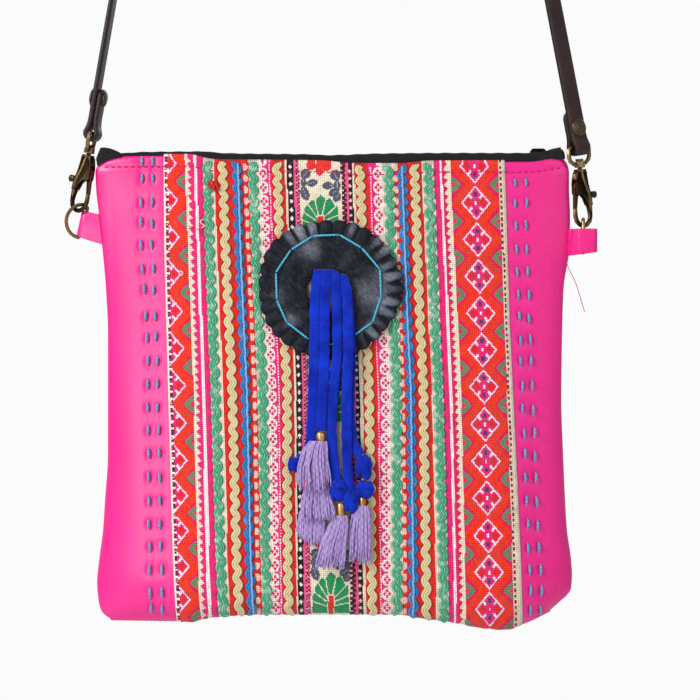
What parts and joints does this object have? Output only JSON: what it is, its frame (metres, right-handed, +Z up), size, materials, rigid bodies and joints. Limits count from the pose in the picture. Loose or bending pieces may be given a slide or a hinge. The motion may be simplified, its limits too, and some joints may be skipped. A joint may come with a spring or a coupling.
{
  "type": "embroidered crossbody bag",
  "caption": "Flat pink zip pouch with an embroidered striped front, a scalloped rosette with tasselled strips, and a long strap on swivel hooks.",
  "frame": {"origin": "inner top of the strap's arch, where the bag hangs", "axes": "+Z up, -Y the embroidered front, +X to the right as seen from the front"},
  "size_m": [0.269, 0.044, 0.7933],
  "materials": {
    "pink_leather": "smooth grained, satin",
    "embroidery": "cross-stitched cotton",
    "braid": "woven braid",
    "black_tape": "woven tape and nylon coil",
    "dark_leather": "soft, creased, matt",
    "blue_suede": "suede",
    "lilac_thread": "loose thread",
    "strap_leather": "smooth with painted edges",
    "antique_brass": "darkened, worn bright on its ridges"
  },
  "bodies": {
    "bag": {"bag_body": "pink_leather", "embroidered_panel": "embroidery", "rosette": "dark_leather", "zip_tape_front": "black_tape", "zip_tape_back": "black_tape", "zip_coil": "black_tape", "zip_end_left": "black_tape", "zip_end_right": "black_tape", "zip_slider": "black_tape", "strap": "strap_leather", "ricrac_left_1": "braid", "ricrac_left_2": "braid", "ricrac_left_3": "braid", "ricrac_left_4": "braid", "ricrac_left_5": "braid", "rivet_left": "antique_brass", "eye_left": "antique_brass", "d_ring_left": "antique_brass", "tab_left": "pink_leather", "ricrac_right_1": "braid", "ricrac_right_2": "braid", "ricrac_right_3": "braid", "ricrac_right_4": "braid", "ricrac_right_5": "braid", "rivet_right": "antique_brass", "eye_right": "antique_brass", "d_ring_right": "antique_brass", "tab_right": "pink_leather", "suede_strip_1": "blue_suede", "strip_knot_1": "blue_suede", "tassel_1": "lilac_thread", "suede_strip_2": "blue_suede", "strip_knot_2": "blue_suede", "tassel_2": "lilac_thread", "suede_strip_3": "blue_suede", "strip_knot_3": "blue_suede", "tassel_3": "lilac_thread", "suede_strip_4": "blue_suede", "strip_knot_4": "blue_suede", "tassel_4": "lilac_thread", "suede_strip_5": "blue_suede", "strip_knot_5": "blue_suede", "tassel_5": "lilac_thread", "brass_bead_1": "antique_brass", "brass_bead_2": "antique_brass", "brass_bead_3": "antique_brass"},
    "left_hook": {"hook_left": "antique_brass"},
    "left_gate": {"gate_left": "antique_brass"},
    "right_hook": {"hook_right": "antique_brass"},
    "right_gate": {"gate_right": "antique_brass"}
  },
  "joints": [
    {"name": "left_swivel", "type": "hinge", "parent": "bag", "child": "left_hook", "pos_m": [-0.11836, 0, -0.55283], "axis": [-0.1908, 0, -0.9816], "range_deg": [-5, 60]},
    {"name": "left_gate_hinge", "type": "hinge", "parent": "left_hook", "child": "left_gate", "pos_m": [-0.11773, -0.00151, -0.5607], "axis": [0.57, 0.8141, -0.1108], "range_deg": [0, 22], "stiffness_Nm_per_rad": 0.005, "springref_deg": -28.65},
    {"name": "right_swivel", "type": "hinge", "parent": "bag", "child": "right_hook", "pos_m": [0.12994, 0, -0.56003], "axis": [0.0628, 0, -0.998], "range_deg": [-5, 60]},
    {"name": "right_gate_hinge", "type": "hinge", "parent": "right_hook", "child": "right_gate", "pos_m": [0.1283, -0.00149, -0.56775], "axis": [0.5732, -0.8186, 0.0361], "range_deg": [0, 22], "stiffness_Nm_per_rad": 0.005, "springref_deg": -28.65}
  ]
}
